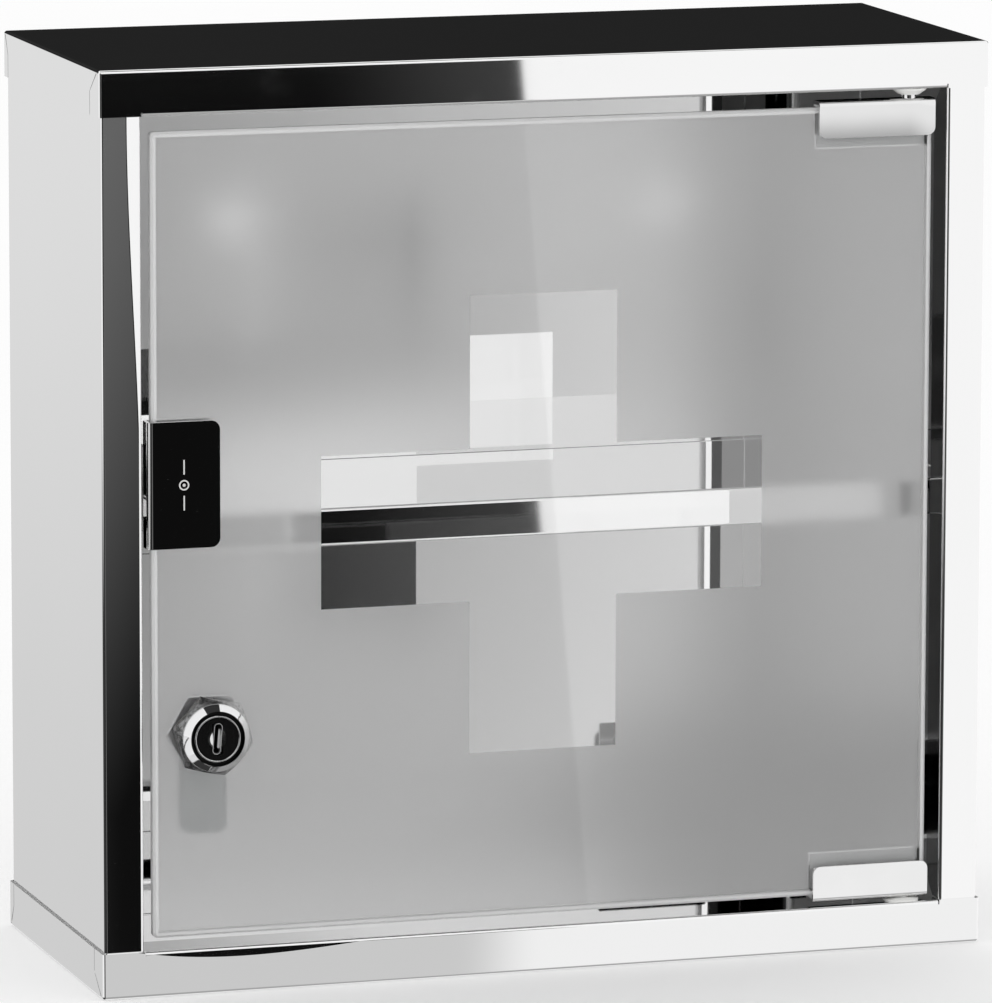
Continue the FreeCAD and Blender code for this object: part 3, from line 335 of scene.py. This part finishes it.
def makeFlag(name, f):
    left, right = f["span"]
    low, high = f["height"]
    side, blur = f["sideBlur"], f["blur"]

    def build(g):
        x, y, z = g.split(g.place())
        across = x + (z - high) * f["slant"]
        tone = across.step(right - f["toneWidth"], right, *f["tone"])
        tone = tone.most(x.step(*f["greyEnd"], f["grey"], 0.0))
        mask = across.band(left, right, side) * z.band(low, high, blur) * g.unscattered()
        mask = mask * (1.0 - g.throughPane(2) * (1.0 - f["throughPane"]))
        dark = g.add("ShaderNodeEmission", {}, {"Color": g.shade(tone)})
        return g.add("ShaderNodeMixShader", {}, {0: mask, 1: g.add("ShaderNodeBsdfTransparent"), 2: dark})

    foot = right + side + (high - low) * f["slant"]
    corners = [(left - side, 0.0, low - blur), (foot, 0.0, low - blur),
               (right + side, 0.0, high + blur), (left - side, 0.0, high + blur)]
    flagPiece = newObject(name, oneFace(corners), newMaterial(name, build))
    flagPiece.location.y = cadBox[0].y - f["distance"]
    flagPiece.visible_camera = False
    flagPiece.visible_diffuse = False
    flagPiece.visible_shadow = False


makeFlag("darkFlag", flag)
makeFlag("cameraCloth", cameraCloth)

floor = {"half": 12.0, "height": -0.0002, "tone": (0.97, 0.99), "cloud": 3.0, "roughness": 0.9}


def makeFloor(f):
    def build(g):
        soft = g.noise(g.place(), f["cloud"])
        return g.add("ShaderNodeBsdfPrincipled", {}, {
            "Base Color": g.blend(soft, grey(f["tone"][0]), grey(f["tone"][1])),
            "Roughness": f["roughness"], "Specular IOR Level": 0.0})

    corners = [(f["half"] * right, f["half"] * away, f["height"])
               for right, away in ((-1, -1), (1, -1), (1, 1), (-1, 1))]
    floorPiece = newObject("studioFloor", oneFace(corners), newMaterial("floorPaper", build))
    floorPiece.visible_glossy = False
    floorPiece.visible_transmission = False


makeFloor(floor)
print("studio built")

# What the finishes share: faces are told by their depth, and patches, dull and some darkened by painted
# shade, lie over a polish
skin = (0.00002, 0.00006)          # a flat face ends within this depth


def onFace(place, face):  # 1 on the flat face at that place, 0 behind it
    return (place - face).fall(*skin)


def bentNormal(g, across, up):  # leans the normal of a flat front face, as a bend would
    lean = g.add("ShaderNodeCombineXYZ", {}, {0: across, 2: up})
    normal = g.add("ShaderNodeTexCoord", {}, {}, "Normal")
    leant = g.add("ShaderNodeVectorMath", {"operation": "ADD"}, {0: normal, 1: lean})
    world = g.add("ShaderNodeVectorTransform", {"vector_type": "NORMAL", "convert_from": "OBJECT",
                                                "convert_to": "WORLD"}, {0: leant})
    return g.add("ShaderNodeVectorMath", {"operation": "NORMALIZE"}, {0: world})


def patched(g, patches, colour, rough):  # each patch is a mask, a tone and a roughness
    for mask, tone, dullness in patches:
        colour = g.blend(mask, colour, g.shade(tone))
        rough = rough.toward(dullness, mask)
    return colour, rough


# Polished sheet. Each noise here and below is its scale, detail and roughness.
polished = {
    "tone": (0.90, 0.925),
    "cloud": (9.0, 3.0),
    "roughness": 0.016,
    "smudge": (38.0, 4.0, 0.6),
    "smudgeFrom": (0.55, 0.8),
    "smudgeRoughness": 0.03,       # added where there is a smudge
    "line": (1.0, 2.0),            # fine lines along the sheet
    "lineScale": (4.0, 4.0, 900.0),
    "lineRoughness": 0.006,
    "wave": (6.0, 1.0),
    "waveHeight": 0.00002,
    "deepMirroring": 4,            # seen through the pane, it and deeper ones take the room's mean light
    "roomGlow": 0.26,
}


def polishedSheet(bend=None, dullAndShade=None):
    def build(g):
        p = polished
        point = g.place()
        place = g.split(point)
        colour = g.blend(g.noise(point, *p["cloud"]), grey(p["tone"][0]), grey(p["tone"][1]))
        smudges = g.noise(point, *p["smudge"]).step(*p["smudgeFrom"])
        lines = g.noise(g.place(p["lineScale"]), *p["line"])
        rough = p["roughness"] + smudges * p["smudgeRoughness"] + lines * p["lineRoughness"]
        colour, rough = patched(g, dullAndShade(g, *place) if dullAndShade else (), colour, rough)
        # painted light: deep reflections seen through the pane glow with the room's mean light
        deep = g.bounced("Glossy", p["deepMirroring"]) * g.throughPane(1)
        under = bend(g, *place) if bend else None
        return g.add("ShaderNodeBsdfPrincipled", {}, {
            "Base Color": colour,
            "Metallic": 1.0,
            "Roughness": rough,
            "Emission Color": g.shade(deep, p["roomGlow"]),
            "Emission Strength": 1.0,
            "Normal": g.bump(g.noise(point, *p["wave"]), p["waveHeight"], 1.0, under)})
    return build


# Slight bends of the sheet, which decide what each flat face mirrors
bends = {
    "flangeDroop": 0.028,          # the bottom cap's front flange leans down
    "dent": (-0.1400, 0.0900),     # start and length of a shallow dent along its top edge
    "dentSkew": 0.5625,            # how much shallower it is towards its right end
    "dentBelly": 0.018944,         # a bit over five times its depth
    "dentBlur": 0.0004,
    "corner": (0.001, 0.0001),     # the left corner's fold: its size, and the blur of its limit
    "cornerLift": 0.12,            # it leans up
    "stripLean": 0.010,            # the left strip leans outward, more towards its top
    "stripTwist": 0.135,           # that lean's growth, for each metre of height
    "stripTwistFrom": 0.06,
    "liftHeights": (0.160, 0.285),  # where the strip starts to lift to its fold: heights
    "liftPlaces": (-0.1368, -0.1408),  # and places at them
    "liftBlur": (-0.0002, 0.0003),
    "lift": 0.05,
    "backLean": -0.012,            # the back panel leans down a little
}


def bottomFlangeBend(g, x, y, z):
    b = bends
    low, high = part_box("bottom_cap")
    along = ((x - b["dent"][0]) / b["dent"][1]).most(0.0).least(1.0)
    belly = along * (1.0 - along) * (1.0 - along * b["dentSkew"]) * b["dentBelly"]
    dent = (belly - (high.z - z)).step(0.0, b["dentBlur"])
    face = onFace(y, low.y)
    corner = (x - low.x).below(*b["corner"]) * (y - low.y).below(*b["corner"])
    lift = corner * (1.0 - face) * b["cornerLift"] - face * (1.0 - dent) * b["flangeDroop"]
    return bentNormal(g, 0.0, lift)


def backBend(g, x, y, z):
    return bentNormal(g, 0.0, onFace(y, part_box("back_panel")[0].y) * bends["backLean"])


def leftStripBend(g, x, y, z):
    b = bends
    lean = (z - b["stripTwistFrom"]).most(0.0) * b["stripTwist"] + b["stripLean"]
    lift = (x - z.step(*b["liftHeights"], *b["liftPlaces"])).step(*b["liftBlur"])
    face = onFace(y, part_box("left_side_panel")[0].y)
    return bentNormal(g, face * (lift * (b["lift"] + lean) - lean), 0.0)


# Patches of the sheet, as distances from the piece's limits: the bottom cap's cut rims are dull, its
# ledge is darker towards the left, and the return's inner face beside the hinges is dull, with painted
# shade
dullAndShadedPatches = {
    "rimDown": (0.00005, 0.0001),
    "rimIn": (0.0010, 0.0011),
    "rimTone": 0.86,
    "rimRoughness": 0.5,
    "ledgeDown": (0.0001, 0.0002),
    "ledgeIn": (0.0011, 0.0012),
    "ledgeBack": (0.0011, 0.016),
    "ledgeBlur": 0.0001,
    "darkerLeft": (-0.145, -0.040),     # places, from left to right
    "darkerLeftTone": (0.38, 0.90),
    "ledgeRoughness": 0.03,
    # painted shade: the return's tone darkens its inner face so the gap beside the hinges looks dark
    "returnBack": (0.0010, 0.0012),
    "returnEnd": (0.0, 0.001),     # places: the sheet is bright from there to the back
    "returnShadeTone": 0.42,
    "returnRoughness": 0.06,
}


def bottomPatches(g, x, y, z):
    d = dullAndShadedPatches
    low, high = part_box("bottom_cap")
    down, inward = high.z - z, high.x - abs(x)
    rims = down.fall(*d["rimDown"]) * inward.fall(*d["rimIn"])
    ledge = down.fall(*d["ledgeDown"]) * inward.step(*d["ledgeIn"])
    ledge = ledge * (y - low.y).band(*d["ledgeBack"], d["ledgeBlur"])
    # the ledge is darker towards the left
    darkerLeft = x.step(*d["darkerLeft"], *d["darkerLeftTone"])
    return (rims, d["rimTone"], d["rimRoughness"]), (ledge, darkerLeft, d["ledgeRoughness"])


# painted shade: the return's inner face beside the hinges is darkened
def returnPaintedShade(g, x, y, z):
    d = dullAndShadedPatches
    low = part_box("right_side_panel")[0]
    face = onFace(x, low.x) * (y - low.y).step(*d["returnBack"]) * y.fall(*d["returnEnd"])
    return ((face, d["returnShadeTone"], d["returnRoughness"]),)


chrome = {"cloud": (60.0, 2.0), "cloudTone": 0.93, "speck": (900.0, 2.0), "speckFrom": (0.62, 0.75),
          "speckRoughness": 0.05}


def chromed(tone, roughness, tint=0.0, bend=None, dullAndShade=None):
    def build(g):
        c = chrome
        point = g.place()
        place = g.split(point)
        clouds = g.noise(point, *c["cloud"])
        colour = g.blend(clouds, (tone, tone, tone + tint, 1.0), grey(tone * c["cloudTone"]))
        rough = roughness + g.noise(point, *c["speck"]).step(*c["speckFrom"]) * c["speckRoughness"]
        colour, rough = patched(g, dullAndShade(g, *place) if dullAndShade else (), colour, rough)
        normal = {"Normal": bend(g, *place)} if bend else {}
        return g.add("ShaderNodeBsdfPrincipled", {}, {
            "Base Color": colour, "Metallic": 1.0, "Roughness": rough, **normal})
    return build


# The lock, whose surfaces are told apart by their distance from its axis and from its face
lock = {
    "castDepth": (0.0025, 0.0026),  # behind this depth the head is as cast, not turned
    "castRadius": (0.0088, 0.0090),
    "speckle": (700.0, 3.0, 0.7),
    "speckleFrom": (0.38, 0.62),
    "castTone": (0.10, 0.34),
    # painted light: the cast head's right side is painted lighter, as if lit from there
    "paintedLightRight": 0.45,            # how much lighter it is on the right
    "paintedLightWidth": 0.009,
    "castRoughness": 0.34,
    "groove": (0.00755, 0.00887),
    "grooveBlur": 0.00002,
    "grooveDepth": (0.00022, 0.0004),
    # painted shade: the groove and the key slot are darkened inside
    "recessShadeTone": 0.012,
    "grooveRoughness": 0.4,
    "slotHalfWidth": 0.0014,
    "slotBlur": 0.00003,
    "slotTurn": math.radians(4.5),
    "slotDepth": (0.0001, 0.0003),
    "slotRoughness": 0.5,
    "bossEdge": (-0.0014, -0.0011),  # left of this the boss is worn to a lean
    "bossLean": 0.8,
    "bossLift": 0.2,
    "bevel": (0.00895, 0.0112),    # the ring's bevel is blunter over two arcs, lower left
    "bevelBlur": 0.00005,
    "bevelBack": (0.0022, 0.0024),
    "bevelArcs": ((-8.0, 47.0), (58.0, 74.0)),  # in degrees, down from the left
    "bevelArcBlur": 2.3,
    "bevelLean": 0.5,
}


def lockAxis():
    low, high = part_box("lock_plug")
    return (low + high) / 2


def fromAxis(x, z):  # how far right of the lock's axis, and above it
    middle = lockAxis()
    return x - middle.x, z - middle.z


def distance(right, up):
    return (right * right + up * up) ** 0.5


def headPatches(g, x, y, z):
    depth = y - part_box("lock_housing")[0].y
    right, up = fromAxis(x, z)
    radius = distance(right, up)
    tone = g.noise(g.place(), *lock["speckle"]).step(*lock["speckleFrom"], *lock["castTone"])
    # painted light: the cast head grows lighter towards its right
    tone = tone + right.step(0.0, lock["paintedLightWidth"]) * lock["paintedLightRight"]
    cast = depth.step(*lock["castDepth"]) * radius.step(*lock["castRadius"])
    # painted shade: the recessed groove round the plug is darkened
    groove = radius.band(*lock["groove"], lock["grooveBlur"]) * depth.step(*lock["grooveDepth"])
    return (cast, tone, lock["castRoughness"]), (groove, lock["recessShadeTone"], lock["grooveRoughness"])


def headBend(g, x, y, z):
    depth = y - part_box("lock_housing")[0].y
    right, up = fromAxis(x, z)
    angle = g.sum("ARCTAN2", -up, -right) * math.degrees(1.0)
    first, second = (angle.band(*arc, lock["bevelArcBlur"]) for arc in lock["bevelArcs"])
    worn = distance(right, up).band(*lock["bevel"], lock["bevelBlur"]) * depth.fall(*lock["bevelBack"])
    worn = worn * first.most(second)
    return bentNormal(g, worn * -lock["bevelLean"], worn * lock["bevelLean"])


def plugPatch(g, x, y, z):
    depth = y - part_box("lock_plug")[0].y
    right, up = fromAxis(x, z)
    across = abs(right * math.cos(lock["slotTurn"]) + up * math.sin(lock["slotTurn"]))
    # painted shade: the key slot is darkened inside
    slot = across.below(lock["slotHalfWidth"], lock["slotBlur"]) * depth.step(*lock["slotDepth"])
    return ((slot, lock["recessShadeTone"], lock["slotRoughness"]),)


def plugBend(g, x, y, z):
    right = x - lockAxis().x
    worn = right.fall(*lock["bossEdge"]) * onFace(y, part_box("lock_plug")[0].y)
    return bentNormal(g, worn * -lock["bossLean"], worn * lock["bossLift"])


# The top clip's face is slightly hollow: it mirrors white above and the grey room below
clipBend = {"lean": 0.05, "growth": 13.8, "rightFade": 0.010, "rightLeft": 0.72}


def topClipBend(g, x, y, z):
    low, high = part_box("top_hinge_clip")
    lean = clipBend["lean"] + (high.z - z) * clipBend["growth"]
    lean = lean * x.step(high.x - clipBend["rightFade"], high.x, 1.0, clipBend["rightLeft"])
    return bentNormal(g, 0.0, -lean * onFace(y, low.y))


zinc = {"tones": ((0.50, 0.52, 0.53, 1.0), (0.66, 0.67, 0.66, 1.0)), "spangle": (300.0, 3.0),
        "roughness": 0.24, "spangleRoughness": 0.16, "grain": (1400.0, 2.0), "relief": (0.00001, 0.4)}


def zinced(g):
    point = g.place()
    spangle = g.noise(point, *zinc["spangle"])
    return g.add("ShaderNodeBsdfPrincipled", {}, {
        "Base Color": g.blend(spangle, *zinc["tones"]),
        "Metallic": 1.0,
        "Roughness": zinc["roughness"] + spangle * zinc["spangleRoughness"],
        "Normal": g.bump(g.noise(point, *zinc["grain"]), *zinc["relief"])})


mould = {"cloud": (40.0, 2.0), "cloudTone": 0.93, "cloudRoughness": 0.08, "grain": (2200.0, 2.0),
         "relief": (0.00002, 0.35)}


def moulded(colour, roughness=0.38):
    def build(g):
        point = g.place()
        clouds = g.noise(point, *mould["cloud"])
        dark = tuple(part * mould["cloudTone"] for part in colour)
        return g.add("ShaderNodeBsdfPrincipled", {}, {
            "Base Color": g.blend(clouds, (*colour, 1.0), (*dark, 1.0)),
            "Roughness": roughness + clouds * mould["cloudRoughness"],
            "Normal": g.bump(g.noise(point, *mould["grain"]), *mould["relief"])})
    return build


# The pane: smooth outside, etched inside except on a cross, with ground edges
pane = {
    "clear": 0.99,
    "frosted": 1.0,
    "ior": 1.5,
    "etchDepth": (0.00065, 0.00045),  # from its back
    "etchRoughness": 0.40,
    "etchHaze": 0.20,
    "grain": (2600.0, 2.0),
    "grainRoughness": 0.06,
    "ground": 0.0017,              # width of the ground rim along its edges
    "groundRoughness": 0.5,
    "groundHaze": 0.6,
    "hazeTone": (0.84, 0.88),
    "hazeRoughness": 0.6,
    "crossHalf": 0.075,
    "armHalf": 0.025,
    "crossHeight": 0.1475,
    "margin": 0.0018,              # the etching stops this far from the edges
    "blur": 0.00005,
}


def doorGlass(g):
    p = pane
    blur = p["blur"]
    low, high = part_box("glass_door")
    x, y, z = g.split(g.place())
    across, up = abs(x), abs(z - p["crossHeight"])
    upright = across.below(p["armHalf"], blur) * up.below(p["crossHalf"], blur)
    level = up.below(p["armHalf"], blur) * across.below(p["crossHalf"], blur)
    inside = across.below(high.x - p["margin"], blur)
    inside = inside * z.band(low.z + p["margin"], high.z - p["margin"], blur)
    back = y.step(high.y - p["etchDepth"][0], high.y - p["etchDepth"][1])
    etched = back * inside * (1.0 - upright.most(level))
    rim = across.above(high.x - p["ground"], blur)
    rim = rim.most(1.0 - z.band(low.z + p["ground"], high.z - p["ground"], blur))
    grain = g.noise(g.place(), *p["grain"])
    frost = etched * (p["etchRoughness"] + grain * p["grainRoughness"])
    glass = g.add("ShaderNodeBsdfPrincipled", {}, {
        "Base Color": g.blend(etched, grey(p["clear"]), grey(p["frosted"])),
        "Roughness": frost.most(rim * p["groundRoughness"]),
        "Transmission Weight": 1.0, "IOR": p["ior"]})
    haze = g.add("ShaderNodeBsdfPrincipled", {}, {
        "Base Color": g.blend(grain, grey(p["hazeTone"][0]), grey(p["hazeTone"][1])),
        "Roughness": p["hazeRoughness"]})
    cloudy = (etched * p["etchHaze"]).most(rim * p["groundHaze"])
    return g.add("ShaderNodeMixShader", {}, {0: cloudy, 1: glass, 2: haze})


finishes = {
    "polished_stainless": newMaterial("polishedStainless", polishedSheet()),
    "chromed_steel": newMaterial("chromedSteel", chromed(0.86, 0.03)),
    "chromed_zinc": newMaterial("chromedZinc", chromed(0.86, 0.04, 0.005)),
    "plug_metal": newMaterial("plugMetal", chromed(0.80, 0.08, 0.0, plugBend, plugPatch)),
    "magnet_metal": newMaterial("magnetMetal", chromed(0.70, 0.1)),
    "zinc_steel": newMaterial("zincSteel", zinced),
    "spring_steel": newMaterial("springSteel", chromed(0.45, 0.25)),
    "door_glass": newMaterial("doorGlass", doorGlass),
    "clear_liner": newMaterial("clearLiner", moulded((0.78, 0.79, 0.79))),
    "white_nylon": newMaterial("whiteNylon", moulded((0.86, 0.86, 0.84))),
    "white_plastic": newMaterial("whitePlastic", moulded((0.84, 0.84, 0.83))),
    "black_plastic": newMaterial("blackPlastic", moulded((0.004, 0.004, 0.004), 0.08)),
    "black_rubber": newMaterial("blackRubber", moulded((0.02, 0.02, 0.02), 0.6)),
}
ownFinishes = {  # pieces that have bends or patches of their own
    "bottom_cap": polishedSheet(bottomFlangeBend, bottomPatches),
    "left_side_panel": polishedSheet(leftStripBend),
    "right_side_panel": polishedSheet(None, returnPaintedShade),
    "back_panel": polishedSheet(backBend),
    "top_hinge_clip": chromed(0.86, 0.03, 0.0, topClipBend),
    "lock_housing": chromed(0.86, 0.04, 0.005, headBend, headPatches),
}
for entry in frame["record"]["subparts"]:
    piece = frame["nodes"][entry["node"]]
    piece.data.materials.clear()
    piece.data.materials.append(finishes[entry["material_slot"]])
for name, build in ownFinishes.items():
    frame["nodes"][name].data.materials[0] = newMaterial("finish_" + name, build)
print("finishes on")


# Small pieces that the solids leave to the scene
def newPiece(name, shape, finish, body):
    bmesh.ops.recalc_face_normals(shape, faces=shape.faces)
    piece = newObject(name, shape, finish)
    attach(piece, body)


def stadium(middle, halfWidth, halfLength, turn=0.0, steps=12):  # an outline in x and z, longer in z
    points = []
    for i in range(steps * 2):
        angle = math.pi * (i + 0.5) / steps
        end = 1 if i < steps else -1
        x, z = halfWidth * math.cos(angle), halfWidth * math.sin(angle) + end * (halfLength - halfWidth)
        points.append((middle[0] + x * math.cos(turn) - z * math.sin(turn),
                       middle[1] + x * math.sin(turn) + z * math.cos(turn)))
    return points


def bridge(shape, first, second):  # a strip of faces between two closed rows of points
    for i in range(len(first)):
        follow = (i + 1) % len(first)
        shape.faces.new([first[i], first[follow], second[follow], second[i]])


def standOff(shape, outer, inner, front, back):  # a flat plate or frame between two depths
    rings = [[[shape.verts.new((x, y, z)) for x, z in outline] for y in (front, back)]
             for outline in (outer, inner) if outline]
    for near, far in rings:
        bridge(shape, near, far)
    for side in (0, 1):
        if inner:
            bridge(shape, rings[0][side], rings[1][side])
        else:
            shape.faces.new(rings[0][side])


# A plain sign on the press plate: a ring with a dot between two strokes
plateSign = {"height": 0.00004, "ring": 0.0017, "line": 0.00045, "dot": 0.0005, "stroke": 0.0024,
             "strokeAt": 0.0058, "colour": (0.72, 0.72, 0.71), "roughness": 0.4}


def makePlateSign(s):
    low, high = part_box("strike_plate")
    middle = ((low.x + high.x) / 2, (low.z + high.z) / 2)
    front, back = low.y - s["height"], low.y + s["height"]
    hole = s["ring"] - s["line"]
    shape = bmesh.new()
    standOff(shape, stadium(middle, s["ring"], s["ring"]), stadium(middle, hole, hole), front, back)
    standOff(shape, stadium(middle, s["dot"], s["dot"]), None, front, back)
    for side in (-1, 1):
        place = (middle[0], middle[1] + side * s["strokeAt"])
        standOff(shape, stadium(place, s["line"] / 2, s["stroke"]), None, front, back)
    newPiece("pressPlateSign", shape, newMaterial("signEnamel", moulded(s["colour"], s["roughness"])),
             "door")


makePlateSign(plateSign)

# The key slot's bright lining, with a ward along one side
keyway = {"halfWidth": 0.00136, "halfLength": 0.00506, "wall": 0.00014, "proud": 0.00003, "depth": 0.0016,
          "ward": 0.00042, "wardAt": 0.0008, "wardLength": 0.62, "wardFrom": 0.6,  # of halfLength and depth
          "tone": 0.86, "roughness": 0.5}


def makeKeyway(k):
    middle = lockAxis()
    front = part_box("lock_face_ring")[0].y - k["proud"]
    back = front + k["depth"]
    centre, turn = (middle.x, middle.z), -lock["slotTurn"]
    shape = bmesh.new()
    standOff(shape, stadium(centre, k["halfWidth"], k["halfLength"], turn),
             stadium(centre, k["halfWidth"] - k["wall"], k["halfLength"] - k["wall"], turn), front, back)
    side = (middle.x + k["wardAt"] * math.cos(turn), middle.z + k["wardAt"] * math.sin(turn))
    standOff(shape, stadium(side, k["ward"], k["halfLength"] * k["wardLength"], turn), None,
             front + k["depth"] * k["wardFrom"], back)
    newPiece("keywayLining", shape, newMaterial("keywayMetal", chromed(k["tone"], k["roughness"])),
             "lock_barrel")


makeKeyway(keyway)

# The barrel's thread, where it stands out behind its nut
thread = {"barrel": 0.009, "root": 0.0001, "crest": 0.00022, "flank": 0.0003, "pitch": 0.00075,
          "turns": 2.0, "steps": 48, "runOut": 8, "start": 0.0005}  # it runs out over so many steps


def makeBarrelThread(t):
    middle = lockAxis()
    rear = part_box("lock_housing")[1].y - t["start"]
    inner = t["barrel"] - t["root"]
    count = int(t["turns"] * t["steps"])
    shape = bmesh.new()
    rows = []
    for i in range(count + 1):
        angle = 2 * math.pi * i / t["steps"]
        right, up = math.cos(angle), math.sin(angle)
        depth = rear - t["pitch"] * i / t["steps"]
        outer = t["barrel"] + t["crest"] * min(1.0, i / t["runOut"], (count - i) / t["runOut"])
        rows.append([shape.verts.new((middle.x + r * right, depth + y, middle.z + r * up))
                     for r, y in ((inner, -t["flank"]), (outer, 0.0), (inner, t["flank"]))])
    for first, second in zip(rows, rows[1:]):
        bridge(shape, first, second)
    shape.faces.new(rows[0])
    shape.faces.new(rows[-1])
    newPiece("barrelThread", shape, finishes["chromed_zinc"], "door")


makeBarrelThread(thread)
print("small pieces made")

bpy.context.scene.view_settings.view_transform = "Standard"
